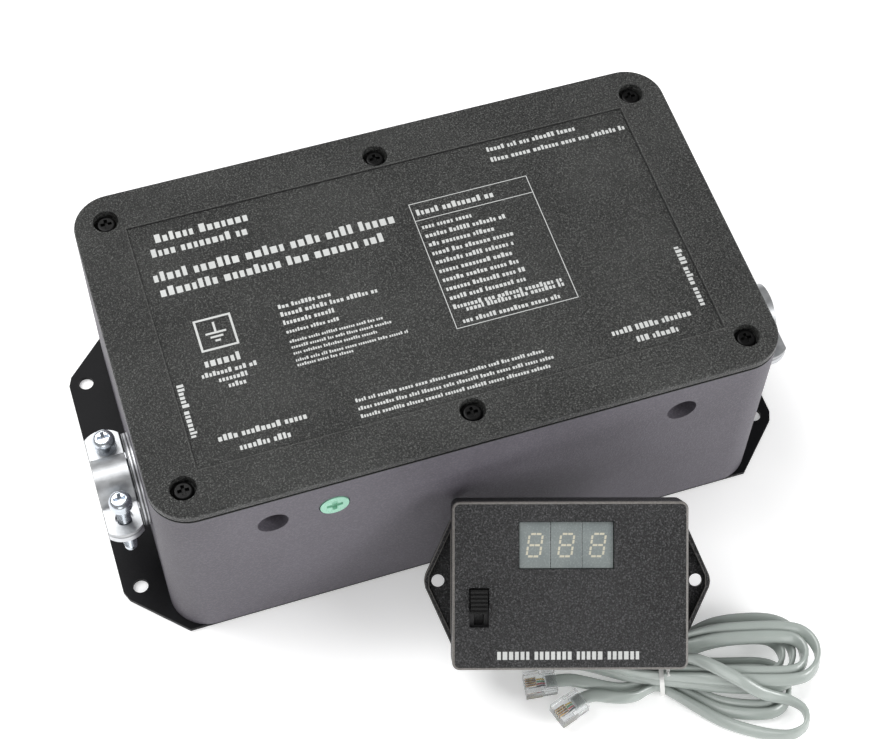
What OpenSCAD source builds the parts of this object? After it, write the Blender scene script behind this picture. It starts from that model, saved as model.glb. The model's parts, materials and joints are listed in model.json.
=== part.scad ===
// Hardwired whole house surge protector: a two-part plastic enclosure on a flanged steel
// plate, with a cable clamp at each end, a control board with contactor, varistors and
// current transformer inside, a loose remote display and its flat data cable.
// Origin: centre of the mounting plate's underside. +X towards the load end, +Z up.

/* [Enclosure] */
// Length of the enclosure along X
box_l = 257; // [250:1:264]
// Width of the enclosure along Y
box_w = 156; // [154:1:160]
// Outer corner radius of the enclosure
box_r = 16; // [12:1:20]
// Height of the lid's top face above the plate's underside
box_top = 97; // [94:1:104]
// Wall thickness of the enclosure
wall_t = 3; // [2.5:0.5:3.5]
// Thickness of the lid plate
lid_t = 3.4; // [3:0.2:4]
// Dark gap between the lid's edge and the base
seam = 0.8; // [0.4:0.2:1.2]

/* [Mounting plate] */
// Length over both flanges
plate_l = 293; // [291:1:300]
// Width of each flange at its outer edge
flange_w = 110; // [104:1:116]
// Steel thickness
plate_t = 2; // [1.5:0.5:3]
// Bolt hole spacing along X
bolt_x = 278; // [276:1:280]
// Bolt hole spacing along Y
bolt_y = 104; // [96:1:106]
// Bolt hole radius
bolt_r = 3.2; // [2.6:0.1:3.5]

/* [Cable clamps] */
// Y of the clamps' axis
clamp_y = -29; // [-32:1:-26]
// Height of the clamps' axis
clamp_z = 50; // [46:1:52]
// Bore of the clamp body
clamp_bore_r = 10.4; // [9:0.2:10.6]
// Distance between the two clamp screws
clamp_pitch = 34; // [33:0.5:36]
// How far the line side's near screw is backed out
near_screw_out = 10.6; // [6:0.2:12]

/* [Remote display] */
// Width of the display's body
disp_w = 93; // [90:1:96]
// Height of the display's body
disp_h = 66.3; // [64:0.1:68]
// Depth of the display's body
disp_t = 19; // [18:0.5:22]
// Place of the centre of its face
disp_pos = [21, -127.7, 52.1];
// Lean back from upright and turn towards the viewer
disp_turn = [33, 0, -17.3];

/* [Hidden] */
$fn = 72;

// Enclosure
base_top = box_top - lid_t - seam;   // rim of the base
floor_top = plate_t + wall_t;        // inside floor
post_r = 5.5;
post_top = 88;
lid_screw_x = 115;
lid_screw_y = 64.8;
lid_screw_at = [for (x = [-1, 0, 1], y = [-1, 1]) [x * lid_screw_x, y * lid_screw_y]];
lid_sink_r = 5.2;                    // counterbore of a lid screw
lid_sink_floor = box_top - 4.4;
label_size = [215.4, 117];
label_depth = 0.5;
well_x = 84.7;                       // side wells in the front wall
well_z = 75.3;
well_r = 6.2;
ground_x = 60;                       // ground screws, front at -X and rear at +X
ground_z = 76.3;
ground_r = 5.9;
plate_screw_at = [for (x = [-100, 100], y = [-58, 58]) [x, y]];

// Board and what stands on it
board_size = [172, 144, 1.6];
board_z = floor_top + 8;
board_top = board_z + board_size[2];
standoff_at = [for (x = [-80, 80], y = [-56, 56]) [x, y]];
terminal_x = 74;
terminal_y = -8;
pole_pitch = 14;
jack_x = 48;

// Clamp
clamp_screw_x = 10;                  // from the wall's outer face
strap_x0 = 3.4;
strap_x1 = 17.6;
strap_half = 22;                     // to the corners of the ears
ear_bulge = 3;
ear_t = 2.1;
strap_low = 0.3;                     // underside of the strap above the axis
arch_r = 11.4;
knockout_r = 13.7;

// Display, in its own frame: x right, y up its face, z out of the face
shell_depth = 14;
window_at = [-1.6, 15.9];
window_size = [37.4, 18.6];
module_w = 12.3;
slot_at = [-35.9, -8.6];
slot_size = [7.6, 15.4];
knob_size = [6.8, 9.6];
ear_hole_x = 51.7;
ear_apex = 57.3;
ear_root = 25.2;
disp_screw_at = [for (x = [-1, 1], y = [-1, 1]) [x * 41, y * 28.4]];

// Data cable: flat, 5.2 x 2.4, wound into a tied hank with two free plugs
cord_w = 5.2;
cord_t = 2.4;
hank_at = [54, -154];
hank_turn = -17.3;
hank_top = 17;
plug_size = [9.65, 13, 6.6];         // across, along, up
plug_a_at = [11.4, -146.5, 3.3];     // middle of the plug's rear face, at its underside
plug_a_turn = 172;                   // heading of its nose
plug_b_at = [19, -157, 3.2];
plug_b_turn = -162;
latch_angle = 8;
lead_a = [
    [7.4, -145.9, 6.7], [11.4, -146.5, 6.7], [17, -147.8, 6.6], [23, -150.8, 6.2],
    [30, -154.4, 5], [36, -156.5, 3.8], [43, -157.2, 3.2]
];
lead_b = [
    [15.2, -158.2, 6.6], [19, -157, 6.6], [24, -157, 6.5], [30, -159.4, 6.2],
    [36, -161.4, 5.5], [41, -161.8, 4.6], [46, -160.6, 3.8]
];

// ---------- shared shapes ----------

module rounded_plate(l, w, r, h) {
    linear_extrude(h) {
        square([l - 2 * r, w], center = true);
        square([l, w - 2 * r], center = true);
        for (x = [-1, 1], y = [-1, 1])
            translate([x * (l / 2 - r), y * (w / 2 - r)]) circle(r);
    }
}

module at_each(places) {
    for (p = places) translate(p) children();
}

module cross_recess(size, depth) {
    for (a = [0, 90]) rotate([0, 0, a])
        translate([-size / 2, -size / 7, -depth]) cube([size, size / 3.5, depth + 1]);
}

// Round head standing on z = 0, its edge rounded, with a cross recess
module pan_head(r, h) {
    e = h * 0.45;
    difference() {
        rotate_extrude() polygon(concat(
            [[0, 0], [r, 0]],
            [for (a = [0 : 18 : 90]) [r - e + e * cos(a), h - e + e * sin(a)]],
            [[0, h]]));
        translate([0, 0, h]) cross_recess(r * 1.1, h * 0.55);
    }
}

module screw(head_r, head_h, shank_r, shank_l) {
    pan_head(head_r, head_h);
    translate([0, 0, -shank_l]) cylinder(r = shank_r, h = shank_l + 0.01);
}

// ---------- plate and enclosure ----------

module mounting_plate() {
    slope = box_w / 2 - 0.5;
    inner = plate_l / 2 - (slope - flange_w / 2);
    soft = 2.5;
    color("#1b1b1e") difference() {
        linear_extrude(plate_t) polygon([
            for (q = [[1, 1], [-1, 1], [-1, -1], [1, -1]])
                each (q[0] * q[1] > 0
                    ? [[q[0] * plate_l / 2, q[1] * (flange_w / 2 - soft)],
                       [q[0] * (plate_l / 2 - soft * 0.7), q[1] * (flange_w / 2 + soft * 0.7)],
                       [q[0] * inner, q[1] * slope]]
                    : [[q[0] * inner, q[1] * slope],
                       [q[0] * (plate_l / 2 - soft * 0.7), q[1] * (flange_w / 2 + soft * 0.7)],
                       [q[0] * plate_l / 2, q[1] * (flange_w / 2 - soft)]])
        ]);
        for (x = [-1, 1], y = [-1, 1])
            translate([x * bolt_x / 2, y * bolt_y / 2, -1]) cylinder(r = bolt_r, h = plate_t + 2);
        at_each(plate_screw_at) translate([0, 0, -0.01]) cylinder(r = 4, h = plate_t + 1);
    }
}

module plate_screws() {
    color("#8d9094") at_each(plate_screw_at) difference() {
        union() {
            translate([0, 0, 0.1]) cylinder(r = 3.7, h = plate_t - 0.1);
            cylinder(r = 1.5, h = 9);
        }
        translate([0, 0, 0.1]) rotate([180, 0, 0]) cross_recess(3.6, 1);
    }
}

module wall_well(depth) {
    rotate([90, 0, 0]) translate([0, 0, -depth]) cylinder(r = well_r + 2, h = depth);
}

module enclosure_base() {
    color("#6c6870") difference() {
        union() {
            difference() {
                translate([0, 0, plate_t])
                    rounded_plate(box_l, box_w, box_r, base_top - plate_t);
                translate([0, 0, floor_top])
                    rounded_plate(box_l - 2 * wall_t, box_w - 2 * wall_t, box_r - wall_t, box_top);
            }
            at_each(lid_screw_at) translate([0, 0, plate_t + 1])
                cylinder(r = post_r, h = post_top - plate_t - 1);
            for (p = lid_screw_at) {
                s = sign(p[1]);
                translate([p[0] - 1.2, min(p[1], s * (box_w / 2 - 1)), plate_t + 1])
                    cube([2.4, box_w / 2 - 1 - lid_screw_y, post_top - 8 - plate_t]);
            }
            at_each(plate_screw_at) translate([0, 0, plate_t + 1]) cylinder(r = 4.5, h = 9);
            for (x = [-1, 1])
                translate([x * well_x, -box_w / 2 + 1, well_z]) wall_well(11);
        }
        at_each(lid_screw_at) translate([0, 0, post_top - 18]) cylinder(r = 2.35, h = 20);
        at_each(plate_screw_at) translate([0, 0, plate_t - 1]) cylinder(r = 1.6, h = 9.5);
        for (x = [-1, 1]) translate([x * well_x, -box_w / 2, well_z]) {
            rotate([90, 0, 0]) translate([0, 0, -10]) cylinder(r = well_r, h = 11);
            rotate([90, 0, 0]) translate([0, 0, -14]) cylinder(r = 2.2, h = 14);
        }
        for (s = [-1, 1]) {
            translate([s * ground_x, s * box_w / 2, ground_z]) rotate([90, 0, 0])
                translate([0, 0, -6]) cylinder(r = ground_r + 0.35, h = 12);
            translate([s * (box_l / 2 - 10), clamp_y, clamp_z]) rotate([0, 90, 0])
                translate([0, 0, -20]) cylinder(r = knockout_r, h = 40);
        }
        translate([jack_x - 8.3, box_w / 2 - 6, board_top - 0.3]) cube([16.6, 12, 15]);
    }
}

module lid() {
    lip_l = box_l - 2 * wall_t - 0.8;
    lip_w = box_w - 2 * wall_t - 0.8;
    color("#4a4a4c") difference() {
        union() {
            translate([0, 0, base_top + seam]) rounded_plate(box_l, box_w, box_r, lid_t);
            difference() {
                translate([0, 0, base_top - 4])
                    rounded_plate(lip_l, lip_w, box_r - wall_t - 0.4, seam + 5);
                translate([0, 0, base_top - 5])
                    rounded_plate(lip_l - 4, lip_w - 4, box_r - wall_t - 2.4, seam + 5);
            }
            at_each(lid_screw_at) translate([0, 0, post_top + 0.1])
                cylinder(r = post_r, h = box_top - post_top - 2);
        }
        translate([0, 0, box_top - label_depth])
            translate([-label_size[0] / 2, -label_size[1] / 2]) cube([label_size[0], label_size[1], 2]);
        at_each(lid_screw_at) {
            translate([0, 0, lid_sink_floor]) cylinder(r = lid_sink_r, h = 10);
            translate([0, 0, post_top - 1]) cylinder(r = 2.35, h = 12);
        }
    }
}

module lid_screws() {
    color("#141416") at_each(lid_screw_at) translate([0, 0, lid_sink_floor])
        screw(4.1, 2.6, 2, 17);
}

// Ground screw with its axis along -Y, the outer face of its head just proud of the wall
module ground_screw() {
    rotate([90, 0, 0]) {
        difference() {
            translate([0, 0, -3.4]) cylinder(r = ground_r, h = 3.8);
            translate([0, 0, 0.4]) cross_recess(6.4, 1.6);
        }
        translate([0, 0, -12]) cylinder(r = 2.4, h = 9);
    }
}

module ground_screw_front() {
    color("#8fd3b4") translate([-ground_x, -box_w / 2, ground_z]) ground_screw();
}

module ground_screw_rear() {
    color("#8fd3b4") translate([ground_x, box_w / 2, ground_z]) rotate([0, 0, 180]) ground_screw();
}

// Tinned bar behind a ground screw, with a folded tab down to the lug
module ground_bar() {
    difference() {
        union() {
            translate([-15, 3.6, -8]) cube([37, 3, 16]);
            translate([10, 3.6, -30]) cube([12, 3, 23]);
            translate([10, 3.6, -30]) cube([12, 14, 3]);
        }
        rotate([-90, 0, 0]) cylinder(r = 2.5, h = 10);
        translate([-10, 0, 0]) rotate([-90, 0, 0]) cylinder(r = 2, h = 10);
        translate([16, 12, -32]) cylinder(r = 2.6, h = 8);
    }
}

module ground_bar_front() {
    color("#b9b6a8") translate([-ground_x, -box_w / 2, ground_z]) ground_bar();
}

module ground_bar_rear() {
    color("#b9b6a8") translate([ground_x, box_w / 2, ground_z]) rotate([0, 0, 180]) ground_bar();
}

// ---------- cable clamps ----------
// Drawn with the wall's outer face at x = 0, outwards along +X, the bore's axis on y = z = 0

module at_clamp(side) {
    translate([side * box_l / 2, clamp_y, clamp_z])
        mirror([side < 0 ? 1 : 0, 0, 0]) children();
}

module across_wall(r, x0, x1) {
    translate([x0, 0, 0]) rotate([0, 90, 0]) cylinder(r = r, h = x1 - x0);
}

// Plan of the two ears: a band with both ends bowed outwards
module ear_plan() {
    w = strap_x1 - strap_x0;
    bow_r = (pow(w / 2, 2) + pow(ear_bulge, 2)) / (2 * ear_bulge);
    intersection() {
        translate([strap_x0, -strap_half - ear_bulge]) square([w, 2 * (strap_half + ear_bulge)]);
        union() {
            translate([strap_x0, -strap_half]) square([w, 2 * strap_half]);
            for (s = [-1, 1]) translate([strap_x0 + w / 2, s * (strap_half + ear_bulge - bow_r)])
                circle(bow_r);
        }
    }
}

module connector_body() {
    difference() {
        union() {
            across_wall(13.1, -14, 0.5);
            across_wall(19.2, 0, 2.8);
            difference() {
                across_wall(13.4, 2, strap_x1);
                translate([2.8, -20, 0]) cube([20, 40, 20]);
            }
            translate([0, 0, -3.2]) linear_extrude(3.2) ear_plan();
        }
        across_wall(clamp_bore_r, -15, 20);
        for (s = [-1, 1]) translate([clamp_screw_x, s * clamp_pitch / 2, -10])
            cylinder(r = 2.95, h = 20);
    }
}

module locknut() {
    difference() {
        union() {
            across_wall(16, -wall_t - 3.4, -wall_t);
            for (a = [0 : 45 : 315]) rotate([a, 0, 0])
                translate([-wall_t - 3.4, -2, 14]) cube([3.4, 4, 5]);
        }
        across_wall(13.15, -20, 0);
    }
}

module clamp_strap() {
    difference() {
        union() {
            intersection() {
                translate([0, 0, strap_low]) linear_extrude(ear_t) ear_plan();
                union() for (s = [-1, 1]) translate([0, s > 0 ? arch_r - 1 : -arch_r - 19, 0])
                    cube([30, 20, 9]);
            }
            translate([strap_x0, 0, strap_low]) rotate([90, 0, 90])
                linear_extrude(strap_x1 - strap_x0) difference() {
                    circle(arch_r);
                    circle(arch_r - ear_t);
                    translate([-20, -20]) square([40, 20]);
                }
        }
        for (s = [-1, 1]) translate([clamp_screw_x, s * clamp_pitch / 2, -10])
            cylinder(r = 3.5, h = 20);
    }
}

// Zinc pan head screw with a spring washer under its head, standing on the strap
module clamp_screw_tight() {
    difference() {
        cylinder(r = 4.6, h = 2.2);
        translate([0, 0, -1]) cylinder(r = 2.9, h = 5);
        translate([2, -0.5, -1]) cube([4, 1, 5]);
    }
    translate([0, 0, 2.3]) screw(4.6, 5.2, 2.6, 26);
}

module clamp_screws_on(places) {
    for (s = places)
        translate([clamp_screw_x, s * clamp_pitch / 2, strap_low + ear_t + 0.05]) clamp_screw_tight();
}

module line_connector_body() { color("#b4b7ba") at_clamp(-1) connector_body(); }
module line_locknut() { color("#a9abad") at_clamp(-1) locknut(); }
module line_clamp_strap() { color("#c3c6c8") at_clamp(-1) clamp_strap(); }
module line_clamp_screw_far() { color("#c9ccd0") at_clamp(-1) clamp_screws_on([1]); }

module line_clamp_screw_near() {
    color("#c9ccd0") at_clamp(-1)
        translate([clamp_screw_x, -clamp_pitch / 2, strap_low + ear_t + near_screw_out])
            screw(4.6, 5.2, 2.6, 34.5);
}

module load_connector_body() { color("#b4b7ba") at_clamp(1) connector_body(); }
module load_locknut() { color("#a9abad") at_clamp(1) locknut(); }
module load_clamp_strap() { color("#c3c6c8") at_clamp(1) clamp_strap(); }
module load_clamp_screws() { color("#c9ccd0") at_clamp(1) clamp_screws_on([-1, 1]); }

// ---------- control board ----------

module main_board() {
    color("#2f6b45") difference() {
        translate([-board_size[0] / 2, -board_size[1] / 2, board_z]) cube(board_size);
        at_each(standoff_at) translate([0, 0, board_z - 1]) cylinder(r = 1.8, h = 4);
        for (s = [-1, 1]) translate([-7, s * 66 - 8, board_z - 1]) cube([14, 16, 4]);
    }
}

module board_standoffs() {
    color("#b79a4e") at_each(standoff_at) difference() {
        translate([0, 0, floor_top]) cylinder(r = 3.2, h = board_z - floor_top, $fn = 6);
        translate([0, 0, floor_top + 2]) cylinder(r = 1.5, h = 10, $fn = 32);
    }
}

module board_screws() {
    color("#a8abae") at_each(standoff_at) translate([0, 0, board_top]) screw(2.9, 2, 1.4, 6);
}

module terminal_block(side) {
    translate([side * terminal_x, terminal_y, board_top]) difference() {
        translate([-9, -1.5 * pole_pitch - 1, 0]) cube([18, 3 * pole_pitch + 2, 22]);
        for (i = [-1 : 1]) {
            translate([-side * 2, i * pole_pitch, 8]) cylinder(r = 4, h = 20);
            translate([side > 0 ? -6 : -12, i * pole_pitch - 4.4, 4]) cube([18, 8.8, 9]);
        }
        for (i = [-1.5, -0.5, 0.5, 1.5])
            translate([-12, i * pole_pitch - 0.5, 18]) cube([24, 1, 10]);
    }
}

module terminal_screws(side) {
    for (i = [-1 : 1])
        translate([side * (terminal_x - 2), terminal_y + i * pole_pitch, board_top + 14])
            screw(3.6, 2.4, 1.7, 7);
}

module line_terminal_block() { color("#2b2d30") terminal_block(-1); }
module load_terminal_block() { color("#2b2d30") terminal_block(1); }
module line_terminal_screws() { color("#b9bbbd") terminal_screws(-1); }
module load_terminal_screws() { color("#b9bbbd") terminal_screws(1); }

// Contactor: open frame, coil below, armature carrying the moving contacts above
contactor_size = [46, 54, 44];

module contactor_base() {
    s = contactor_size;
    color("#26262a") translate([0, -14, board_top]) difference() {
        translate([-s[0] / 2, -s[1] / 2, 0]) cube(s);
        translate([-16, -s[1] / 2 + 5, 4]) cube([32, s[1] - 10, 32]);
        translate([-17, -s[1] / 2 - 1, 24]) cube([34, s[1] + 2, 40]);
    }
}

module contactor_coil() {
    color("#9c4a28") translate([0, -14, board_top + 4.2]) {
        difference() {
            union() {
                cylinder(r = 14.5, h = 2);
                translate([0, 0, 14]) cylinder(r = 14.5, h = 2);
                cylinder(r = 12.5, h = 15);
            }
            translate([0, 0, -1]) cylinder(r = 5, h = 20);
        }
    }
}

module contactor_armature() {
    color("#c9bfa2") translate([0, -14, board_top]) {
        translate([0, 0, 8]) cylinder(r = 4.6, h = 24);
        translate([-9, -18, 31.4]) cube([18, 36, 4]);
        for (s = [-1, 1]) {
            translate([-13.4, s * 14 - 4, 29.6]) cube([26.8, 8, 2]);
            for (x = [-11.5, 11.5]) translate([x, s * 14, 29]) cylinder(r = 2.4, h = 1);
        }
    }
}

module contactor_contacts() {
    color("#c08a52") translate([0, -14, board_top])
        for (s = [-1, 1], y = [-1, 1]) translate([0, y * 14, 0]) mirror([s < 0 ? 1 : 0, 0, 0]) {
            translate([9.5, -3, 24.1]) cube([7.4, 6, 1.5]);
            translate([15.6, -3, 24.1]) cube([1.3, 6, 21.5]);
            translate([15.6, -3, 44.1]) cube([6.9, 6, 1.5]);
            translate([11.5, 0, 25]) cylinder(r = 2.4, h = 1.8);
        }
}

module current_transformer() {
    color("#31405c") translate([-44, 38, board_top + 18.5]) rotate([0, 90, 0]) {
        difference() {
            cylinder(r = 18, h = 14, center = true);
            cylinder(r = 9, h = 20, center = true);
        }
    }
}

module power_transformer_core() {
    color("#5a5d60") translate([42, 34, board_top]) difference() {
        translate([-21, -16, 0]) cube([42, 18, 34]);
        for (s = [-1, 1]) translate([s * 10.5 - 4, -20, 7]) cube([8, 40, 20]);
    }
}

module power_transformer_bobbin() {
    color("#d9c24a") translate([42, 34, board_top]) difference() {
        translate([-14.2, -20, 7.3]) cube([28.4, 26, 19.4]);
        translate([-21, -16.3, 0]) cube([10.2, 18.6, 34]);
        translate([10.8, -16.3, 0]) cube([10.2, 18.6, 34]);
        translate([-6.8, -16.3, 0]) cube([13.6, 18.6, 34]);
    }
}

module surge_varistors() {
    for (i = [0 : 4]) color(i < 3 ? "#2f58a8" : "#c7622d")
        translate([34 + i * 8, -42, board_top + 13]) rotate([0, 90, 0]) {
            cylinder(r = 9.6, h = 5, center = true);
            for (y = [-3.6, 3.6]) translate([6.5, y, 0]) rotate([0, 90, 0]) cylinder(r = 0.5, h = 6.5);
        }
}

module filter_capacitors() {
    for (i = [0 : 2]) color("#1d3f66")
        translate([-58 + i * 14, -44, board_top]) cylinder(r = 5.8, h = 22);
}

module control_chips() {
    color("#1c1c1f") translate([0, 0, board_top]) {
        translate([-8, 22, 0]) cube([22, 8, 3.4]);
        translate([-8, 42, 0]) cube([14, 6, 2.6]);
        translate([-38, -30, 0]) cube([8, 8, 2]);
        translate([16, 44, 0]) cube([6, 4, 1.6]);
    }
}

module socket(width, height, depth) {
    // Modular socket: mouth at z = 0 facing +Z, with a latch notch below it
    difference() {
        translate([-width / 2, -height / 2, -depth]) cube([width, height, depth]);
        translate([-4.95, -3.1, -depth + 2]) cube([9.9, 6.9, depth]);
        translate([-2.1, -4.6, -depth + 2]) cube([4.2, 2, depth]);
    }
}

module data_jack() {
    color("#303236") translate([jack_x, box_w / 2 + 1, board_top + 6.6]) rotate([-90, 0, 0])
        mirror([0, 1, 0]) socket(16, 13, 17);
}

// ---------- remote display ----------

module at_display() {
    translate(disp_pos) rotate(disp_turn) children();
}

// Rounded body outline with a blunt triangular ear at each side
module ear_outline() {
    tip = 2.4;
    square([disp_w - 6, disp_h], center = true);
    square([disp_w, disp_h - 6], center = true);
    for (x = [-1, 1], y = [-1, 1])
        translate([x * (disp_w / 2 - 3), y * (disp_h / 2 - 3)]) circle(3);
    for (s = [-1, 1]) mirror([s < 0 ? 1 : 0, 0, 0]) polygon([
        [disp_w / 2 - 1, -ear_root], [disp_w / 2, -ear_root],
        for (y = [-1, -0.6, 0, 0.6, 1]) [ear_apex - tip * 0.45 * y * y, y * tip * 1.6],
        [disp_w / 2, ear_root], [disp_w / 2 - 1, ear_root]
    ]);
}

module ear_pocket() {
    for (s = [-1, 1]) mirror([s < 0 ? 1 : 0, 0, 0]) polygon([
        [disp_w / 2 + 0.3, -ear_root + 5.2], [ear_apex - 2.1, -2.2],
        [ear_apex - 2.1, 2.2], [disp_w / 2 + 0.3, ear_root - 5.2]
    ]);
}

module display_front_shell() {
    color("#3f3f41") at_display() difference() {
        union() {
            difference() {
                translate([0, 0, -shell_depth]) rounded_plate(disp_w, disp_h, 3, shell_depth);
                translate([0, 0, -shell_depth - 2])
                    rounded_plate(disp_w - 4, disp_h - 4, 1.5, shell_depth);
            }
            at_each(disp_screw_at) translate([0, 0, -shell_depth]) cylinder(r = 3, h = 13);
        }
        at_each(disp_screw_at) translate([0, 0, -shell_depth - 1]) cylinder(r = 1.3, h = 12);
        translate([window_at[0] - window_size[0] / 2, window_at[1] - window_size[1] / 2, -4])
            cube([window_size[0], window_size[1], 6]);
        translate([slot_at[0] - slot_size[0] / 2, slot_at[1] - slot_size[1] / 2, -4])
            cube([slot_size[0], slot_size[1], 6]);
        translate([-6.9, -disp_h / 2 - 1, -shell_depth - 1]) cube([13.8, 4, 10]);
    }
}

module display_back_plate() {
    color("#38383a") at_display() difference() {
        translate([0, 0, -disp_t]) linear_extrude(disp_t - shell_depth - 0.1) ear_outline();
        translate([0, 0, -disp_t + 2.5])
            rounded_plate(disp_w - 4, disp_h - 4, 1.5, disp_t);
        translate([0, 0, -disp_t + 2.2]) linear_extrude(disp_t) ear_pocket();
        for (s = [-1, 1]) translate([s * ear_hole_x, 0, -disp_t - 1]) cylinder(r = 2.6, h = 10);
        at_each(disp_screw_at) translate([0, 0, -disp_t - 1]) {
            cylinder(r = 1.7, h = 8);
            cylinder(r = 2.9, h = 2.4);
        }
        translate([-6.9, -disp_h / 2 - 1, -disp_t + 2.3]) cube([13.8, 4, 6]);
    }
}

module led_module(i) {
    at_display() translate([window_at[0] + (i - 1) * (module_w + 0.1), window_at[1], -9])
        translate([-module_w / 2, -9.2, 0]) cube([module_w, 18.4, 7.6]);
}

module led_module_left() { color("#7f8a92") led_module(0); }
module led_module_middle() { color("#7f8a92") led_module(1); }
module led_module_right() { color("#7f8a92") led_module(2); }

module display_board() {
    color("#2f6b45") at_display() difference() {
        translate([-43, -25.2, -10.6]) cube([86, 50.4, 1.6]);
        translate([-7.2, -26, -11]) cube([14.4, 7.4, 3]);
    }
}

module bypass_switch_body() {
    color("#232325") at_display() difference() {
        translate([slot_at[0] - 5, slot_at[1] - 11, -9]) cube([10, 22, 4.6]);
        translate([slot_at[0] - 1.9, slot_at[1] - 7.2, -7.5]) cube([3.8, 14.4, 6]);
    }
}

module bypass_switch_knob() {
    low = slot_at[1] + slot_size[1] / 2 - 0.3 - knob_size[1];
    color("#18181a") at_display() difference() {
        union() {
            translate([slot_at[0] - knob_size[0] / 2, low, -4]) cube([knob_size[0], knob_size[1], 5.6]);
            translate([slot_at[0] - 1.5, low + 3, -7]) cube([3, 3.6, 4]);
        }
        for (i = [0 : 4]) translate([slot_at[0] - 5, low + 1.2 + i * 1.6, 1])
            cube([10, 0.8, 2]);
    }
}

module display_jack() {
    color("#222225") at_display() translate([0, -disp_h / 2 - 0.8, -10.6]) rotate([90, 0, 0])
        socket(13.2, 11, 14.5);
}

module display_screws() {
    color("#8d9094") at_display() at_each(disp_screw_at) translate([0, 0, -disp_t + 1.3])
        rotate([180, 0, 0]) screw(2.6, 1.2, 1.2, 12);
}

// ---------- data cable ----------

module at_hank() {
    translate([hank_at[0], hank_at[1], 0]) rotate([0, 0, hank_turn]) children();
}

// Outline of the tied hank: a small lobe to the left, a fanned lobe to the right
module data_cable_hank() {
    color("#a9b0ab") at_hank() linear_extrude(hank_top) {
        polygon([[-44, 38], [-20, 22], [-8, 9], [8, 9], [40, 25], [50, 24], [50, -24], [38, -26],
                 [8, -11], [-8, -11], [-20, -5], [-32, 0], [-44, 1]]);
        translate([-44, 20]) circle(19.4);
        translate([47, 6]) circle(20);
        translate([43, -10]) circle(17.5);
    }
}

module cable_tie() {
    color("#e9e9e4") at_hank() translate([-1.7, 0, 0]) rotate([90, 0, 90]) linear_extrude(3.4)
        difference() {
            translate([-11.8, 0]) square([21, hank_top + 0.8]);
            translate([-10.8, 0.8]) square([19, hank_top - 0.8]);
        }
}

function unit(v) = v / norm(v);

// Tube of flat section along a list of points, swept with its broad side kept level
module flat_lead(points) {
    sides = 8;
    n = len(points);
    ring = [for (k = [0 : sides - 1]) [cord_w / 2 * cos(45 * k + 22.5), cord_t / 2 * sin(45 * k + 22.5)]];
    body = [for (i = [0 : n - 1])
        let (d = unit(points[min(i + 1, n - 1)] - points[max(i - 1, 0)]),
             side = unit(cross([0, 0, 1], d)), up = cross(d, side))
            for (q = ring) points[i] + q[0] * side + q[1] * up];
    walls = [for (i = [0 : n - 2], k = [0 : sides - 1])
        let (a = i * sides + k, b = i * sides + (k + 1) % sides)
            each [[a, b, b + sides], [a, b + sides, a + sides]]];
    ends = [for (k = [1 : sides - 2]) each [
        [0, k + 1, k],
        [(n - 1) * sides, (n - 1) * sides + k, (n - 1) * sides + k + 1]]];
    polyhedron(points = body, faces = [for (f = concat(walls, ends)) [f[2], f[1], f[0]]]);
}

module data_cable_lead_a() { color("#a9b0ab") flat_lead(lead_a); }
module data_cable_lead_b() { color("#a9b0ab") flat_lead(lead_b); }

// Plug in its own frame: cable end at y = 0, nose towards +Y, underside at z = 0
contact_x = [-1.5, -0.5, 0.5, 1.5] * 1.02;

module plug_body() {
    w = plug_size[0];
    difference() {
        union() {
            translate([-w / 2, 0, 0.6]) cube([w, plug_size[1], plug_size[2] - 1.4]);
            translate([-w / 2, plug_size[1] - 7, 0]) cube([w, 7, plug_size[2]]);
            translate([-w / 2 + 0.7, 0, 0]) cube([w - 1.4, plug_size[1], plug_size[2] - 0.8]);
        }
        translate([-2.9, -1, 1.9]) cube([5.8, 6.4, 3]);
        for (x = contact_x) translate([x - 0.25, plug_size[1] - 4.6, 3]) cube([0.5, 5, 5]);
    }
}

module plug_contacts() {
    for (x = contact_x) translate([x - 0.2, plug_size[1] - 4.4, 3.1]) cube([0.4, 4, 3.2]);
}

// Cantilever latch hinged at the nose and running back under the plug
module plug_latch() {
    translate([0, plug_size[1] - 0.6, -0.35]) rotate([latch_angle, 0, 0]) {
        translate([-3, -6.4, -0.9]) cube([6, 6.4, 0.9]);
        translate([-1.6, -13.2, -0.9]) cube([3.2, 7, 0.9]);
    }
}

module at_plug_a() { translate(plug_a_at) rotate([0, 0, plug_a_turn - 90]) children(); }
module at_plug_b() { translate(plug_b_at) rotate([0, 0, plug_b_turn - 90]) children(); }

module plug_a_body() { color("#dfe3e2") at_plug_a() plug_body(); }
module plug_a_contacts() { color("#c79a4a") at_plug_a() plug_contacts(); }
module plug_a_latch() { color("#dfe3e2") at_plug_a() plug_latch(); }
module plug_b_body() { color("#dfe3e2") at_plug_b() plug_body(); }
module plug_b_contacts() { color("#c79a4a") at_plug_b() plug_contacts(); }
module plug_b_latch() { color("#dfe3e2") at_plug_b() plug_latch(); }

mounting_plate();
plate_screws();
enclosure_base();
lid();
lid_screws();
ground_screw_front();
ground_screw_rear();
ground_bar_front();
ground_bar_rear();
line_connector_body();
line_locknut();
line_clamp_strap();
line_clamp_screw_far();
line_clamp_screw_near();
load_connector_body();
load_locknut();
load_clamp_strap();
load_clamp_screws();
main_board();
board_standoffs();
board_screws();
line_terminal_block();
line_terminal_screws();
load_terminal_block();
load_terminal_screws();
contactor_base();
contactor_coil();
contactor_armature();
contactor_contacts();
current_transformer();
power_transformer_core();
power_transformer_bobbin();
surge_varistors();
filter_capacitors();
control_chips();
data_jack();
display_front_shell();
display_back_plate();
led_module_left();
led_module_middle();
led_module_right();
display_board();
bypass_switch_body();
bypass_switch_knob();
display_jack();
display_screws();
data_cable_hank();
data_cable_lead_a();
data_cable_lead_b();
plug_a_body();
plug_a_contacts();
plug_a_latch();
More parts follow.
